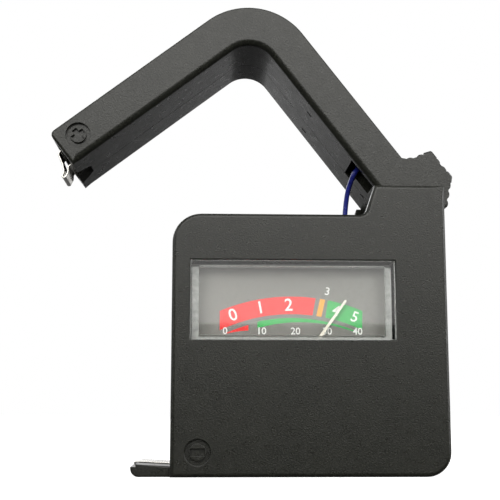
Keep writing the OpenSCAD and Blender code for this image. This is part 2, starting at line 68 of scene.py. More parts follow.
# x runs to the right, y from the front face to the back face, z up
MM = 0.001
CASE_Y, ARM_Y, SPLIT_Y = 12.0, 10.2, 1.2
HALF_W, BODY_H = 23.85, 45.0
TOWER_X, TOWER_Z = 11.5, 50.3
TOWER_ROOT, TOWER_ROOT_R = (8.75, 46.35), 1.35
CORNER_TL, CORNER_BR, TOWER_CORNER = 5.0, 4.2, 0.5
FOOT_TIP, FOOT_ROOT_Z, FOOT_CORNER = (-30.55, 2.12), 1.8, 1.4
FOOT_STEP = (0.9, 0.42)
WINDOW_X, WINDOW_Z = (-20.7, 14.85), (23.0, 36.9)
MINUS_AT, MINUS_R = (-19.22, 4.1), 2.2
PLATE_Y, LENS_BACK_Y = -7.0, -10.5

# The arm as it stands when shut; the thumb tab's points are measured from the pivot
PIVOT, KNUCKLE_R, ARM_OPEN = (17.02, 47.2), 5.0, 52.5
ARM_IN_X, ARM_OUT_X = -24.0, -31.05
ARM_IN_Z, ARM_OUT_Z, ARM_END_Z = 45.15, 52.2, 4.75
BEND, BEND_IN_R, BEND_OUT_R = (-18.85, 40.0), 5.15, 12.2
TAB = ((-6.95, 5.02), (-6.3, 6.0), (-4.75, 10.12), (1.25, 10.15), (4.95, 6.2), (5.1, 3.5))

# Edge radii of the case and of the arm's inner side, and the reach of the groove at a seam
CASE_ROUND, ARM_ROUND = 0.75, 1.1
SEAM = 0.07

CONTACT_HALF_W = 3.5
LEAD_R, SPRING_WIRE_R = 0.47, 0.4

# ------------------------------------------------------------------ camera

# The photo's view, from a little to the left and from slightly above the middle of the case
right = Vector((0.99907, -0.04302, 0.00168))
up = Vector((-0.00595, -0.15653, 0.98764))
view = Matrix((right, up, right.cross(up))).transposed().to_4x4()
view.translation = (-0.017727, -0.186729, 0.010774)
camera = bpy.data.objects.new("camera", bpy.data.cameras.new("camera"))
camera.data.lens = 73.7
camera.data.sensor_width = 36
camera.data.clip_start = 0.005
camera.matrix_world = view
link(camera)
scene.camera = camera
scene.view_settings.view_transform = "Standard"

# ------------------------------------------------------------------ node materials


class Graph:
    """The nodes of a world or a material under construction."""

    def __init__(self, owner, output):
        owner.use_nodes = True
        self.tree = owner.node_tree
        self.tree.nodes.clear()
        self.out = self.add(output)

    def add(self, kind, **settings):
        """A new node with its settings."""
        node = self.tree.nodes.new(kind)
        for key, value in settings.items():
            setattr(node, key, value)
        return node

    def join(self, source, target):
        """A link from a socket to a socket, or a constant, with alpha 1 on a colour."""
        if isinstance(source, bpy.types.NodeSocket):
            self.tree.links.new(source, target)
        else:
            target.default_value = source + (1,) if isinstance(source, tuple) else source

    def ramp(self, value, low, high, at=(0.3, 0.7), smooth=False):
        """The value mapped from the range at to low..high, and held at its ends."""
        node = self.add("ShaderNodeMapRange", interpolation_type="SMOOTHSTEP" if smooth else "LINEAR")
        self.join(value, node.inputs["Value"])
        for key, number in zip(("From Min", "From Max", "To Min", "To Max"), at + (low, high)):
            node.inputs[key].default_value = number
        return node.outputs["Result"]

    def maths(self, operation, a, b):
        """One step of arithmetic on two sockets or numbers."""
        node = self.add("ShaderNodeMath", operation=operation)
        self.join(a, node.inputs[0])
        self.join(b, node.inputs[1])
        return node.outputs[0]

    def either(self, factor, a, b):
        """Shader a where the factor is 0 and shader b where it is 1."""
        node = self.add("ShaderNodeMixShader")
        self.join(factor, node.inputs[0])
        self.join(a, node.inputs[1])
        self.join(b, node.inputs[2])
        return node.outputs[0]


class Look(Graph):
    """A node material under construction."""

    def __init__(self, name):
        self.material = bpy.data.materials.new(name)
        super().__init__(self.material, "ShaderNodeOutputMaterial")
        self.where = self.add("ShaderNodeTexCoord").outputs["Object"]

    def finished(self, shader):
        """The material with this shader as its surface."""
        self.join(shader, self.out.inputs["Surface"])
        return self.material

    def noise(self, size, detail=2.0, stretch=None):
        """Noise whose features are about size millimetres across."""
        node = self.add("ShaderNodeTexNoise")
        node.inputs["Scale"].default_value = 1 / (size * MM)
        node.inputs["Detail"].default_value = detail
        where = self.where
        if stretch:
            mapping = self.add("ShaderNodeMapping")
            mapping.inputs["Scale"].default_value = stretch
            self.join(where, mapping.inputs["Vector"])
            where = mapping.outputs["Vector"]
        self.join(where, node.inputs["Vector"])
        return node.outputs["Fac"]

    def mix(self, factor, a, b):
        """Colour a where the factor is 0 and colour b where it is 1."""
        node = self.add("ShaderNodeMix", data_type="RGBA")
        self.join(factor, node.inputs[0])
        self.join(a, node.inputs[6])
        self.join(b, node.inputs[7])
        return node.outputs[2]

    def mottle(self, size, detail, dark, light):
        """A colour that wanders from dark to light in patches about size millimetres across."""
        return self.mix(self.ramp(self.noise(size, detail), 0.0, 1.0), dark, light)

    def bump(self, *layers, edge=0.0):
        """Bump from (height socket, depth in millimetres) pairs, over softly rounded edges."""
        normal = None
        if edge:
            bevel = self.add("ShaderNodeBevel", samples=4)
            bevel.inputs["Radius"].default_value = edge * MM
            normal = bevel.outputs["Normal"]
        for height, depth in layers:
            node = self.add("ShaderNodeBump")
            node.inputs["Distance"].default_value = depth * MM
            self.join(height, node.inputs["Height"])
            if normal:
                self.join(normal, node.inputs["Normal"])
            normal = node.outputs["Normal"]
        return normal

    def principled(self, colour, roughness, normal, **values):
        """A Principled shader, with further constants under their socket names."""
        shader = self.add("ShaderNodeBsdfPrincipled")
        for key, source in (("Base Color", colour), ("Roughness", roughness), ("Normal", normal)):
            self.join(source, shader.inputs[key])
        for key, value in values.items():
            shader.inputs[key.replace("_", " ")].default_value = value
        return shader.outputs[0]

    def surface(self, *sources, **values):
        """The material with such a shader."""
        return self.finished(self.principled(*sources, **values))


def plastic(name, dark, light, rough, grain, depth, edge, **values):
    """Moulded plastic: a mottled colour, uneven gloss and a fine pebbled skin."""
    look = Look(name)
    speck = tuple(2.2 * c for c in light)
    specks = look.ramp(look.noise(0.30, 1.0), 0.0, 1.0, at=(0.45, 0.75))
    colour = look.mix(specks, look.mottle(6.0, 4.0, dark, light), speck)
    gloss = look.ramp(look.noise(1.7, 3.0), *rough)
    skin = look.bump((look.noise(grain), depth), (look.noise(grain * 9), depth * 0.25), edge=edge)
    return look.surface(colour, gloss, skin, **values)


def metal(name, dark, light, rough, stretch, edge):
    """Rolled or drawn metal: faint streaks along the grain."""
    look = Look(name)
    streaks = look.noise(2.0, 2.0, stretch)
    colour = look.mix(look.ramp(streaks, 0.0, 1.0), dark, light)
    gloss = look.ramp(look.noise(4.0, 2.0, stretch), *rough)
    return look.surface(colour, gloss, look.bump((streaks, 0.0004), edge=edge), Metallic=1.0)


def paint(name, dark, light, rough, depth=0.004):
    """Ink, lacquer or insulation: slightly uneven in colour and gloss."""
    look = Look(name)
    gloss = look.ramp(look.noise(0.6), *rough)
    skin = look.bump((look.noise(0.15), depth))
    return look.surface(look.mottle(0.9, 4.0, dark, light), gloss, skin)


def resistor_body(name, dark, light):
    """A dipped resistor: lacquer with colour bands round the body."""
    look = Look(name)
    parts = look.add("ShaderNodeSeparateXYZ")
    look.join(look.where, parts.inputs[0])
    wave = look.maths("PINGPONG", parts.outputs["X"], 0.9 * MM)
    bands = look.ramp(wave, 0.0, 1.0, at=(0.58 * MM, 0.62 * MM))
    colour = look.mix(bands, look.mottle(0.8, 3.0, dark, light), (0.22, 0.04, 0.02))
    return look.surface(colour, 0.28, look.bump((look.noise(0.5), 0.02)))


def winding(name):
    """Fine enamelled wire laid side by side, with painted shade in the grooves between the turns."""
    look = Look(name)
    wave = look.add("ShaderNodeTexWave", bands_direction="Y")
    wave.inputs["Scale"].default_value = 1500.0
    wave.inputs["Distortion"].default_value = 0.6
    look.join(look.where, wave.inputs["Vector"])
    # The darker copper in the wave's bands is painted shade in the grooves between the turns
    colour = look.mix(wave.outputs["Fac"], (0.30, 0.09, 0.03), (0.72, 0.30, 0.12))
    return look.surface(colour, 0.3, look.bump((wave.outputs["Fac"], 0.03)), Metallic=0.9)


def laminate(name):
    """Phenolic board with a woven base and a thin lacquer."""
    look = Look(name)
    weave = look.add("ShaderNodeTexWave", bands_direction="DIAGONAL")
    weave.inputs["Scale"].default_value = 700.0
    weave.inputs["Distortion"].default_value = 2.0
    look.join(look.where, weave.inputs["Vector"])
    colour = look.mix(weave.outputs["Fac"], (0.16, 0.09, 0.035), (0.24, 0.14, 0.06))
    return look.surface(colour, 0.42, look.bump((weave.outputs["Fac"], 0.01), edge=0.08))


def clear_plastic(name):
    """A clear moulding: what is behind it shows, and both faces mirror a little."""
    look = Look(name)
    clear = look.add("ShaderNodeBsdfTransparent")
    look.join((0.912, 0.917, 0.912), clear.inputs["Color"])
    mirror = look.add("ShaderNodeBsdfGlossy")
    look.join(look.ramp(look.noise(3.0, 3.0), 0.015, 0.05), mirror.inputs["Roughness"])
    facing = look.add("ShaderNodeLayerWeight")
    facing.inputs["Blend"].default_value = 0.5
    skin = look.bump(edge=0.12)
    look.join(skin, mirror.inputs["Normal"])
    look.join(skin, facing.inputs["Normal"])
    grazing = look.maths("POWER", facing.outputs["Facing"], 5.0)
    share = look.ramp(grazing, 0.070, 1.0, at=(0.0, 1.0))
    return look.finished(look.either(share, clear.outputs[0], mirror.outputs[0]))


def frosted_edge(name):
    """The moulded side walls of the clear front, painted a light milky grey that stands in for the light
    they gather.
    """
    look = Look(name)
    clear = look.add("ShaderNodeBsdfTransparent")
    look.join((0.9, 0.91, 0.9), clear.inputs["Color"])
    # Painted glow: a light grey that stands in for light gathered in the clear side walls
    glow_tone = look.mottle(1.1, 3.0, (0.50, 0.51, 0.49), (0.62, 0.63, 0.61))
    gloss = look.ramp(look.noise(0.8), 0.25, 0.4)
    painted_glow = look.principled(glow_tone, gloss, look.bump((look.noise(0.3), 0.01), edge=0.1))
    return look.finished(look.either(look.ramp(look.noise(0.9), 0.62, 0.84), clear.outputs[0], painted_glow))


BLACK = plastic(
    "black_abs", (0.0038, 0.0040, 0.0030), (0.0062, 0.0064, 0.0048), (0.26, 0.33), 0.24, 0.040, 0.14,
    Specular_IOR_Level=0.38,
)
LOOKS = {
    "case_plastic": BLACK,
    "clear_plastic": clear_plastic("clear_lens"),
    "meter_tray_plastic": plastic(
        "tray_plastic", (0.03, 0.03, 0.03), (0.045, 0.045, 0.044), (0.5, 0.62), 0.3, 0.012, 0.1
    ),
    "dial_print": paint("dial_grey", (0.195, 0.190, 0.176), (0.220, 0.214, 0.198), (0.5, 0.6), 0.003),
    "soft_iron": metal("soft_iron", (0.22, 0.21, 0.20), (0.34, 0.33, 0.32), (0.35, 0.5), (1, 6, 1), 0.08),
    "magnet": metal("magnet", (0.12, 0.12, 0.12), (0.20, 0.20, 0.20), (0.3, 0.45), (1, 6, 1), 0.08),
    "brass": metal("brass", (0.55, 0.38, 0.13), (0.72, 0.53, 0.22), (0.22, 0.38), (1, 8, 1), 0.06),
    "jewel": paint("jewel", (0.35, 0.02, 0.05), (0.50, 0.04, 0.08), (0.05, 0.12)),
    "pointer_paint": paint("pointer_cream", (0.84, 0.79, 0.68), (0.90, 0.85, 0.75), (0.35, 0.5), 0.003),
    "copper_winding": winding("winding"),
    "staff_steel": metal("staff_steel", (0.5, 0.5, 0.5), (0.66, 0.66, 0.66), (0.18, 0.3), (1, 8, 1), 0.04),
    "spring_bronze": metal(
        "spring_bronze", (0.5, 0.3, 0.12), (0.66, 0.42, 0.2), (0.25, 0.4), (1, 1, 1), 0.0
    ),
    "board": laminate("board_laminate"),
    "resistor_tan": resistor_body("resistor_tan", (0.42, 0.27, 0.13), (0.52, 0.35, 0.18)),
    "resistor_blue": resistor_body("resistor_blue", (0.08, 0.26, 0.42), (0.12, 0.34, 0.52)),
    "nickel_strip": metal(
        "nickel", (0.66, 0.645, 0.60), (0.73, 0.715, 0.675), (0.20, 0.30), (1, 4, 1), 0.05
    ),
    "wire_black": paint("wire_black", (0.012, 0.012, 0.012), (0.02, 0.02, 0.02), (0.3, 0.42)),
    "wire_red": paint("wire_red", (0.36, 0.015, 0.012), (0.46, 0.03, 0.02), (0.3, 0.42)),
    "wire_blue": paint("wire_blue", (0.006, 0.009, 0.085), (0.010, 0.014, 0.13), (0.24, 0.36), 0.006),
    "pin_steel": metal("pin_steel", (0.42, 0.42, 0.43), (0.58, 0.58, 0.59), (0.2, 0.35), (1, 8, 1), 0.05),
    "screw_steel": metal(
        "screw_steel", (0.46, 0.465, 0.47), (0.54, 0.545, 0.55), (0.24, 0.34), (3, 1, 3), 0.08
    ),
}
INK_RED = paint("ink_red", (0.82, 0.030, 0.028), (0.90, 0.042, 0.038), (0.4, 0.5), 0.002)
INK_AMBER = paint("ink_amber", (0.86, 0.36, 0.03), (0.92, 0.42, 0.045), (0.4, 0.5), 0.002)
INK_GREEN = paint("ink_green", (0.030, 0.40, 0.085), (0.045, 0.48, 0.11), (0.4, 0.5), 0.002)
INK_WHITE = paint("ink_white", (0.84, 0.84, 0.82), (0.92, 0.92, 0.90), (0.4, 0.5), 0.002)

# ------------------------------------------------------------------ mesh helpers


def arc(centre, r, start, stop, count):
    """Points (x, z) on an arc, angles in degrees."""
    found = []
    for i in range(count + 1):
        a = math.radians(start + (stop - start) * i / count)
        found.append((centre[0] + r * math.cos(a), centre[1] + r * math.sin(a)))
    return found


def swung(x, z):
    """A point of the shut arm, moved to where the arm stands open."""
    a = math.radians(ARM_OPEN)
    dx, dz = x - PIVOT[0], z - PIVOT[1]
    return PIVOT[0] + dx * math.cos(a) + dz * math.sin(a), PIVOT[1] - dx * math.sin(a) + dz * math.cos(a)


def loft(name, rings):
    """A closed solid through rings of equal length, as a mesh in millimetres."""
    bm = bmesh.new()
    made = [[bm.verts.new(p) for p in ring] for ring in rings]
    n = len(rings[0])
    for a, b in zip(made, made[1:]):
        for i in range(n):
            j = (i + 1) % n
            bm.faces.new((a[i], b[i], b[j], a[j]))
    bm.faces.new(made[0])
    bm.faces.new(made[-1][::-1])
    bmesh.ops.recalc_face_normals(bm, faces=bm.faces)
    mesh = bpy.data.meshes.new(name)
    bm.to_mesh(mesh)
    bm.free()
    return mesh


def mitres(outline):
    """The inward direction at each corner of an outline, so that edges keep their distance."""
    area = sum(a[0] * b[1] - b[0] * a[1] for a, b in zip(outline, outline[1:] + outline[:1]))
    side = 1 if area > 0 else -1
    found = []
    for i, here in enumerate(outline):
        before, after = outline[i - 1], outline[(i + 1) % len(outline)]
        e1 = Vector((here[0] - before[0], here[1] - before[1])).normalized()
        e2 = Vector((after[0] - here[0], after[1] - here[1])).normalized()
        n1, n2 = Vector((-e1.y, e1.x)) * side, Vector((-e2.y, e2.x)) * side
        found.append((n1 + n2) / max(0.35, 1 + n1.dot(n2)))
    return found


def rimmed(*stretches):
    """An outline and the edge radius at each of its points, from (points, radius) stretches."""
    outline = [p for points, _ in stretches for p in points]
    return outline, [radius for points, radius in stretches for _ in points]


def envelope(name, rim, y_face):
    """An outline stood up in Y, from a face with rounded edges to a fine groove at the seam. It
    is larger than the outline by a hair, so that the shell's own flat faces are the ones kept."""
    outline, radii = rim
    inward = mitres(outline)
    toward = 1 if y_face < SPLIT_Y else -1
    spare = 0.003

    def ring(insets, ys):
        return [
            (p[0] + m.x * (inset - spare), y, p[1] + m.y * (inset - spare))
            for p, m, inset, y in zip(outline, inward, insets, ys)
        ]

    rings = []
    for degrees in range(0, 105, 15):
        a = math.radians(degrees)
        insets = [r * (1 - math.sin(a)) for r in radii]
        rings.append(ring(insets, [y_face + toward * (r * (1 - math.cos(a)) - spare) for r in radii]))
    for inset, y in ((0, SPLIT_Y - toward * SEAM), (1.5 * SEAM, SPLIT_Y + toward * 0.5 * SEAM)):
        rings.append(ring([inset] * len(outline), [y] * len(outline)))
    return loft(name, rings)


def worked(mesh, tool, how):
    """The mesh after one boolean with the tool."""
    body = bpy.data.objects.new("work", mesh)
    other = bpy.data.objects.new("tool", tool)
    link(body)
    link(other)
    cut = body.modifiers.new("cut", "BOOLEAN")
    cut.operation = how
    cut.solver = "EXACT"
    cut.object = other
    made = bpy.data.meshes.new_from_object(body.evaluated_get(bpy.context.evaluated_depsgraph_get()))
    bpy.data.objects.remove(body)
    bpy.data.objects.remove(other)
    return made


def cad_copy(node):
    """A node's mesh in millimetres, welded, without the stored normals."""
    bm = bmesh.new()
    bm.from_mesh(nodes[node].data)
    bmesh.ops.scale(bm, vec=(1000, 1000, 1000), verts=bm.verts)
    bmesh.ops.remove_doubles(bm, verts=bm.verts, dist=1e-4)
    mesh = bpy.data.meshes.new(node)
    bm.to_mesh(mesh)
    bm.free()
    if "custom_normal" in mesh.attributes:
        mesh.attributes.remove(mesh.attributes["custom_normal"])
    return mesh


def piece(name, mesh, material, body, node=None, sharp=30, merge=False):
    """A finished piece from a mesh in millimetres, with its flat faces merged if asked."""
    bm = bmesh.new()
    bm.from_mesh(mesh)
    bmesh.ops.remove_doubles(bm, verts=bm.verts, dist=5e-4)
    if merge:
        bmesh.ops.dissolve_limit(bm, angle_limit=math.radians(0.2), verts=bm.verts, edges=bm.edges)
    bmesh.ops.scale(bm, vec=(MM, MM, MM), verts=bm.verts)
    done = bpy.data.meshes.new(name)
    bm.to_mesh(done)
    bm.free()
    done.materials.append(material)
    done.shade_smooth()
    done.set_sharp_from_angle(angle=math.radians(sharp))
    made = bpy.data.objects.new(name, done)
    link(made)
    weighted = made.modifiers.new("normals", "WEIGHTED_NORMAL")
    weighted.keep_sharp = True
    if body:
        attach(made, body)
    if node:
        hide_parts(node)
    return made


# ------------------------------------------------------------------ case and arm shells

case_rim = rimmed(
    ([(-HALF_W, 0.0)], CASE_ROUND),
    (arc((HALF_W - CORNER_BR, CORNER_BR), CORNER_BR, -90, 0, 12), CASE_ROUND),
    ([(HALF_W, TOWER_Z - 2)], CASE_ROUND),
    (arc((HALF_W - TOWER_CORNER, TOWER_Z - TOWER_CORNER), TOWER_CORNER, 0, 90, 4), 0.42),
    ([(HALF_W - 2, TOWER_Z), (TOWER_X, TOWER_Z)], CASE_ROUND),
    (arc(TOWER_ROOT, TOWER_ROOT_R, -15, -90, 6), CASE_ROUND),
    (arc((-HALF_W + CORNER_TL, BODY_H - CORNER_TL), CORNER_TL, 90, 180, 14), CASE_ROUND),
)
tip_x, tip_z = FOOT_TIP
step_x, step_z = tip_x + FOOT_STEP[0], tip_z - FOOT_STEP[1]
foot_rim = rimmed(
    ([(-HALF_W + 2, 0.0), (-HALF_W + 2, FOOT_ROOT_Z), (-HALF_W, FOOT_ROOT_Z)], 0.3),
    ([(step_x, tip_z), (step_x, step_z), (tip_x, step_z)], 0.12),
    (arc((tip_x + FOOT_CORNER, FOOT_CORNER), FOOT_CORNER, 180, 270, 6), 0.3),
)
arm_rim = rimmed(
    (arc((ARM_OUT_X + 1, ARM_END_Z + 1), 1, 270, 180, 8), 0.45),
    (arc(BEND, BEND_OUT_R, 180, 90, 24), 0.4),
    ([(PIVOT[0] - 7.4, ARM_OUT_Z)], 0.4),
    ([(PIVOT[0] + x, PIVOT[1] + z) for x, z in TAB], 0.5),
    (arc(PIVOT, KNUCKLE_R, 10, -154, 24), 0.3),
    ([(PIVOT[0] - 5.3, ARM_IN_Z)], ARM_ROUND),
    (arc(BEND, BEND_IN_R, 90, 180, 18), ARM_ROUND),
    ([(ARM_IN_X, ARM_END_Z + 1.5)], ARM_ROUND),
    ([(ARM_IN_X, ARM_END_Z)], 0.6),
)


def rim_tool(outline, radius, y_face):
    """The tool that rounds over the rim of an opening in the front face."""
    profile = [(radius + 0.02, y_face - 0.2)]
    for degrees in (90, 65, 40, 20, 3):
        a = math.radians(degrees)
        profile.append((radius * (1 - math.cos(a)), y_face + radius * (1 - math.sin(a))))
    inward = mitres(outline)
    return loft("rim", [
        [(p[0] - m.x * out, y, p[1] - m.y * out) for p, m in zip(outline, inward)] for out, y in profile
    ])


window_outline = [(WINDOW_X[i], WINDOW_Z[j]) for i, j in ((0, 0), (1, 0), (1, 1), (0, 1))]
minus_outline = arc(MINUS_AT, MINUS_R, 0, 350, 35)

for node, toward in (("front_shell", -1), ("back_shell", 1)):
    case = envelope("case", case_rim, toward * CASE_Y)
    foot = envelope("foot", foot_rim, toward * ARM_Y)
    mesh = worked(cad_copy(node), worked(case, foot, "UNION"), "INTERSECT")
    if node == "front_shell":
        mesh = worked(mesh, rim_tool(window_outline, 0.1, -CASE_Y), "DIFFERENCE")
        mesh = worked(mesh, rim_tool(minus_outline, 0.12, -CASE_Y), "DIFFERENCE")
    piece(node + "_skin", mesh, BLACK, "case", node, merge=True)

for node, toward in (("arm_front_shell", -1), ("arm_back_shell", 1)):
    shape = envelope("arm", arm_rim, toward * ARM_Y)
    for v in shape.vertices:
        x, z = swung(v.co.x, v.co.z)
        v.co = (x, v.co.y, z)
    mesh = worked(cad_copy(node), shape, "INTERSECT")
    piece(node + "_skin", mesh, BLACK, "arm", node, merge=True)

# ------------------------------------------------------------------ contact strips and wire


def strip(points, thickness, half_width, edge):
    """A bent metal strip with softened edges, along points (x, z)."""
    rings = []
    for i, p in enumerate(points):
        a, b = points[max(i - 1, 0)], points[min(i + 1, len(points) - 1)]
        d = Vector((b[0] - a[0], b[1] - a[1])).normalized()
        n = Vector((-d.y, d.x))
        ring = []
        for start, side, face in ((180, -1, -1), (270, 1, -1), (0, 1, 1), (90, -1, 1)):
            corner = (side * (half_width - edge), face * (thickness / 2 - edge))
            for y, off in arc(corner, edge, start, start + 90, 3):
                ring.append((p[0] + n.x * off, y, p[1] + n.y * off))
        rings.append(ring)
    return loft("strip", rings)


def softened(points, reach, count=4):
    """The same path with its corners turned into short curves, in two or three dimensions."""
    points = [Vector(p) for p in points]
    found = [points[0]]
    for before, here, after in zip(points, points[1:], points[2:]):
        room = min(reach, (before - here).length / 2, (after - here).length / 2)
        a = here + (before - here).normalized() * room
        b = here + (after - here).normalized() * room
        for k in range(count + 1):
            t = k / count
            found.append(a * (1 - t) ** 2 + here * 2 * t * (1 - t) + b * t * t)
    return found + [points[-1]]


foot_path = softened([
    (-11.5, 7), (-11.5, 1.96), (-HALF_W, 1.96), (tip_x + 1.3, tip_z + 0.16), (tip_x + 0.3, tip_z + 0.12),
    (tip_x + 0.25, tip_z - 0.28),
], 0.28, 5)
end_x, end_z = ARM_IN_X, ARM_END_Z
nose = arc((end_x - 1, end_z - 2.2), 0.33, 200, 385, 14)
outer_leg = softened([
    (end_x - 5.1, end_z + 10.3), (end_x - 5.1, end_z - 0.6), (end_x - 2.9, end_z - 1.15),
    (end_x - 1.75, end_z - 1.7), nose[0],
], 0.5, 5)
inner_leg = softened([
    nose[-1], (end_x - 1.15, end_z - 1.15), (end_x - 1.95, end_z - 0.6), (end_x - 1.95, end_z + 8.5),
], 0.4, 5)
arm_path = [swung(*p) for p in outer_leg + nose[1:-1] + inner_leg]
for name, bent, body, node in (
    ("foot_leaf", strip(foot_path, 0.2, CONTACT_HALF_W, 0.06), "case", "foot_contact"),
    ("arm_strip", strip(arm_path, 0.3, CONTACT_HALF_W, 0.07), "arm_tip", "arm_contact"),
):
    piece(name, bent, LOOKS["nickel_strip"], body, node, sharp=50)


def smooth_path(points, steps):
    """A Catmull-Rom curve through 3-D points."""
    points = [Vector(p) for p in points]
    found = []
    for i in range(len(points) - 1):
        p0, p1, p2 = points[max(i - 1, 0)], points[i], points[i + 1]
        p3 = points[min(i + 2, len(points) - 1)]
        for k in range(steps):
            t = k / steps
            found.append(0.5 * (
                p1 * 2 + (p2 - p0) * t + (p0 * 2 - p1 * 5 + p2 * 4 - p3) * t * t
                + (p1 * 3 - p0 - p2 * 3 + p3) * t * t * t
            ))
    return found + [points[-1]]


def tube(path, radius, sides):
    """A round wire along a path, with slightly domed ends."""
    last = len(path) - 1
    turns = [2 * math.pi * k / sides for k in range(sides)]
    normal = (path[1] - path[0]).normalized().cross(Vector((0.31, 0.52, 0.79)))
    rings = []
    for i, p in enumerate(path):
        d = (path[min(i + 1, last)] - path[max(i - 1, 0)]).normalized()
        normal = (normal - d * normal.dot(d)).normalized()
        across = d.cross(normal)
        spokes = [(normal * math.cos(a) + across * math.sin(a)) * radius for a in turns]
        if i == 0:
            rings.append([p - d * radius * 0.3 + spoke * 0.7 for spoke in spokes])
        rings.append([p + spoke for spoke in spokes])
        if i == last:
            rings.append([p + d * radius * 0.3 + spoke * 0.7 for spoke in spokes])
    return loft("tube", rings)


# The arm's lead: through the arm, a free loop into the case, and on to the board
in_arm = [
    (-28.3, -2, 15.6), (-27.6, -1.8, 19), (-27.2, -1.4, 38), (-25.6, -1, 44.5), (-20.5, -1, 48.3),
    (-8, -1.2, 48.7), (2, -1.6, 48.5), (5, -2.8, 47.8), (6.4, -3.9, 46.2),
]
route = [(swung(x, z)[0], y, swung(x, z)[1]) for x, y, z in in_arm]
route += [(9, -4.1, 54.1), (8.1, -2.3, 51.5), (7.8, -1.3, 49), (7.6, -1, 46.4), (7.55, -0.6, 42.4)]
route += [(6.6, 4.2, 40.4), (4.6, 8.4, 38.6), (4, 8.9, 34.5), (4, 8.5, 31), (4, 6.85, 31)]
wire_mesh = tube(smooth_path(softened(route, 1.2, 3), 2), LEAD_R, 14)
wire = piece("arm_wire", wire_mesh, LOOKS["wire_blue"], None, "arm_lead", sharp=80)
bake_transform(wire)

# The return spring, coiled along its axis and drawn as it stands with the arm open
SPRING_END, COIL_R, COIL_TURNS, COIL_STEPS = 2.7, 2.5, 4, 160
CASE_LEG, ARM_LEG = 5.9, 6
sweep = 360 * COIL_TURNS + 90 - ARM_OPEN
coil = [Vector((PIVOT[0] + COIL_R, -SPRING_END, PIVOT[1] - CASE_LEG))]
for i, (x, z) in enumerate(arc(PIVOT, COIL_R, 0, sweep, COIL_STEPS)):
    coil.append(Vector((x, -SPRING_END + 2 * SPRING_END * i / COIL_STEPS, z)))
end_angle = math.radians(sweep)
coil.append(coil[-1] + Vector((-math.sin(end_angle), 0, math.cos(end_angle))) * ARM_LEG)
spring_mesh = tube(coil, SPRING_WIRE_R, 10)
spring = piece("arm_spring", spring_mesh, LOOKS["pin_steel"], None, "return_spring", sharp=80)
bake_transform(spring)

# ------------------------------------------------------------------ dial print

DIAL = (-2.8, -1.5)
PRINT_Y = (PLATE_Y - 0.03, PLATE_Y + 0.01)
MAIN_BAND, FIGURE_R = (29.4, 32.5), 30.95
LOW_FIGURE_Z = 24.85
# Height of a figure as a share of its font size
FIGURE_SHARE = 0.72


def band(name, left, right, inner, outer, ink):
    """A printed arc. Each end gives x at the inner and the outer edge, and each edge gives its
    radius at the left and the right end."""
    steps = 28
    edges = []
    for which, radii in ((0, inner), (1, outer)):
        first = math.asin((left[which] - DIAL[0]) / radii[0])
        last = math.asin((right[which] - DIAL[0]) / radii[1])
        edge = []
        for i in range(steps + 1):
            t = i / steps
            r = radii[0] + (radii[1] - radii[0]) * t
            a = first + (last - first) * t
            edge.append((DIAL[0] + r * math.sin(a), DIAL[1] + r * math.cos(a)))
        edges.append(edge)
    rim = edges[0] + edges[1][::-1]
    piece(name, loft(name, [[(x, y, z) for x, z in rim] for y in PRINT_Y]), ink, "case")


for name, left, right, ink in (
    ("print_red", (-15.55, -15.55), (0.8, 1.4), INK_RED),
    ("print_amber", (1.5, 2.2), (2.4, 3.1), INK_AMBER),
    ("print_green", (3.1, 3.6), (9.6, 9.7), INK_GREEN),
):
    band(name, left, right, (MAIN_BAND[0],) * 2, (MAIN_BAND[1],) * 2, ink)
band("print_green_low", (-8.9, -8.9), (9.2, 9.2), (27.6, 28.6), (28.7, 28.7), INK_GREEN)
band("print_red_low", (-14.5, -14.5), (-10.5, -10.5), (28.42, 27.6), (28.5, 28.5), INK_RED)


def figures(name, marks):
    """One piece of printed figures, each given as (text, height, x, z, tilt in degrees)."""
    bm = bmesh.new()
    for text, height, x, z, tilt in marks:
        curve = bpy.data.curves.new("figure", "FONT")
        curve.body = text
        curve.size = height / FIGURE_SHARE
        curve.align_x = "CENTER"
        curve.align_y = "CENTER"
        curve.extrude = 0.02
        curve.offset = height * 0.012
        curve.resolution_u = 3
        holder = bpy.data.objects.new("figure", curve)
        link(holder)
        flat = bpy.data.meshes.new_from_object(holder.evaluated_get(bpy.context.evaluated_depsgraph_get()))
        flat.transform(
            Matrix.Translation((x, PLATE_Y - 0.035, z))
            @ Matrix.Rotation(math.radians(tilt), 4, "Y")
            @ Matrix.Rotation(math.radians(90), 4, "X")
        )
        bm.from_mesh(flat)
        bpy.data.objects.remove(holder)
    mesh = bpy.data.meshes.new(name)
    bm.to_mesh(mesh)
    bm.free()
    piece(name, mesh, INK_WHITE, "case")


def on_arc(text, height, x, r):
    """A figure standing on an arc of the dial."""
    a = math.asin((x - DIAL[0]) / r)
    return text, height, x, DIAL[1] + r * math.cos(a), math.degrees(a)


figures(
    "print_figures",
    [on_arc(text, 2.2, x, FIGURE_R) for text, x in (("0", -13.2), ("1", -8.4), ("2", -3.4))]
    + [on_arc("3", 1.4, 3.5, 34.0)]
    + [on_arc(text, 1.9, x, FIGURE_R) for text, x in (("4", 5.0), ("5", 8.3))]
    + [
        (text, 1.25, x, LOW_FIGURE_Z, 0)
        for text, x in (("0", -14.6), ("10", -8.2), ("20", -2.2), ("30", 3.4), ("40", 8.8))
    ],
)

# ------------------------------------------------------------------ the other CAD nodes

# Nodes that pieces above replace, and the edge radius of nodes shown as softened copies
REMADE = (
    "front_shell", "back_shell", "arm_front_shell", "arm_back_shell", "foot_contact", "arm_contact",
    "arm_lead", "return_spring",
)
SOFTENED = {
    "meter_cover": 0.15, "meter_base": 0.1, "scale_plate": 0.04, "pointer": 0.03, "case_screws": 0.12,
    "nine_volt_contacts": 0.08, "movement_bridge": 0.04,
}


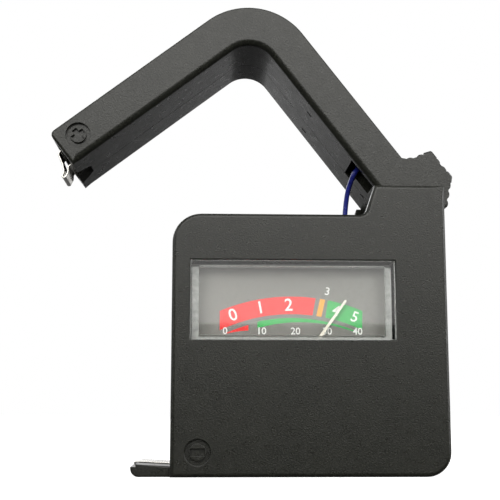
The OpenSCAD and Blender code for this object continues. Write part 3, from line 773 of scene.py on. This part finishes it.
def paint_glow_on_sides(cover):
    """Side walls of the meter cover painted a light grey for the light they gather, with its window left
    clear.
    """
    cover.data.materials.append(frosted_edge("frosted_edge"))
    for face in cover.data.polygons:
        window_face = abs(face.normal.y) > 0.9 and face.center.y < LENS_BACK_Y * MM
        face.material_index = 0 if window_face else 1


for name, node in nodes.items():
    if name in REMADE:
        continue
    slot = node.material_slots[0].material.name.split(".")[0]
    if name not in SOFTENED:
        node.material_slots[0].material = LOOKS[slot]
        continue
    body = node.parent.name.split(":")[1]
    made = piece(name + "_skin", cad_copy(name), LOOKS[slot], body, name, sharp=32, merge=True)
    bevel = made.modifiers.new("edges", "BEVEL")
    bevel.width = SOFTENED[name] * MM
    bevel.segments = 3
    bevel.limit_method = "ANGLE"
    bevel.angle_limit = math.radians(35)
    bevel.harden_normals = True
    bevel.use_clamp_overlap = True
    # The bevel comes before the weighted normals
    made.modifiers.move(1, 0)
    if name == "meter_cover":
        paint_glow_on_sides(made)

# ------------------------------------------------------------------ light and floor

# The camera sees white; the object sees a sky that is bright behind it and to its sides, and dim
# and dark below in front of it
world = bpy.data.worlds.new("studio")
scene.world = world
sky = Graph(world, "ShaderNodeOutputWorld")
axes = sky.add("ShaderNodeSeparateXYZ")
sky.join(sky.add("ShaderNodeTexCoord").outputs["Generated"], axes.inputs[0])
behind = sky.ramp(axes.outputs["Y"], 0.0, 1.0, at=(-0.35, 0.25), smooth=True)
side = sky.ramp(axes.outputs["X"], 0.8, 1.25, at=(-0.9, 0.9), smooth=True)
front = sky.ramp(axes.outputs["Z"], 0.03, 0.35, at=(0.0, 0.7), smooth=True)
ahead = sky.maths("MULTIPLY", sky.maths("SUBTRACT", 1.0, behind), front)
studio = sky.add("ShaderNodeBackground")
sky.join(sky.maths("ADD", sky.maths("MULTIPLY", behind, side), ahead), studio.inputs["Strength"])
white = sky.add("ShaderNodeBackground")
sky.join((1.0, 1.0, 1.0), white.inputs["Color"])
from_camera = sky.add("ShaderNodeLightPath").outputs["Is Camera Ray"]
sky.join(sky.either(from_camera, studio.outputs[0], white.outputs[0]), sky.out.inputs["Surface"])


def softbox(name, centre, aim, size, radiance, colour=(1, 1, 1), mirrored=True):
    """A rectangular light of the given radiance, facing a point, unseen by the camera."""
    lamp = bpy.data.lights.new(name, "AREA")
    lamp.shape = "RECTANGLE"
    lamp.size, lamp.size_y = size
    lamp.energy = radiance * math.pi * size[0] * size[1]
    lamp.color = colour
    holder = bpy.data.objects.new(name, lamp)
    holder.rotation_euler = (Vector(aim) - Vector(centre)).to_track_quat("-Z", "Y").to_euler()
    holder.location = centre
    holder.visible_camera = False
    holder.visible_glossy = mirrored
    link(holder)


softbox("key_low", (0.1, -1.0, 0.66), (0.1, 0.0, 0.66), (1.25, 1.1), 1.5, (1.0, 0.99, 0.965))
softbox("key_high", (0.1, -0.98, 0.8), (0.1, 0.0, 0.8), (1.25, 1.1), 2.3, (1.0, 0.99, 0.965))
softbox("front_left", (-0.45, -1.0, 0.30), (0, 0, 0.03), (0.5, 0.5), 14.0, mirrored=False)
softbox("front_right", (0.45, -1.0, 0.30), (0, 0, 0.03), (0.5, 0.5), 7.0, mirrored=False)
softbox("left_fill", (-0.9, -0.35, 0.40), (0, 0, 0.03), (0.5, 0.6), 2.2)
softbox("back_fill", (-0.45, 0.95, 0.70), (0, 0, 0.03), (0.9, 0.8), 3.2)
softbox("right_fill", (0.9, -0.30, 0.35), (0, 0, 0.03), (0.5, 0.7), 6.0)

FLOOR = 3
floor_mesh = bpy.data.meshes.new("floor")
corners = [(-FLOOR, -FLOOR, 0), (FLOOR, -FLOOR, 0), (FLOOR, FLOOR, 0), (-FLOOR, FLOOR, 0)]
floor_mesh.from_pydata(corners, [], [(0, 1, 2, 3)])
floor = bpy.data.objects.new("floor", floor_mesh)
link(floor)

# The camera sees lit white paper; the object sees a dim floor, darker in front of it
paper = Look("floor_paper")
matt = paper.add("ShaderNodeBsdfDiffuse")
paper.join(paper.mottle(40.0, 2.0, (0.40, 0.40, 0.395), (0.42, 0.42, 0.415)), matt.inputs["Color"])
shine = paper.add("ShaderNodeEmission")
shine.inputs["Strength"].default_value = 0.80
lit = paper.add("ShaderNodeAddShader")
paper.join(matt.outputs[0], lit.inputs[0])
paper.join(shine.outputs[0], lit.inputs[1])
dim = paper.add("ShaderNodeBsdfDiffuse")
spot = paper.add("ShaderNodeSeparateXYZ")
paper.join(paper.where, spot.inputs[0])
depth = paper.ramp(spot.outputs["Y"], 0.0, 1.0, at=(-0.03, 0.06))
paper.join(paper.mix(depth, (0.04, 0.04, 0.04), (0.08, 0.08, 0.08)), dim.inputs["Color"])
from_camera = paper.add("ShaderNodeLightPath").outputs["Is Camera Ray"]
floor_mesh.materials.append(paper.finished(paper.either(from_camera, dim.outputs[0], lit.outputs[0])))
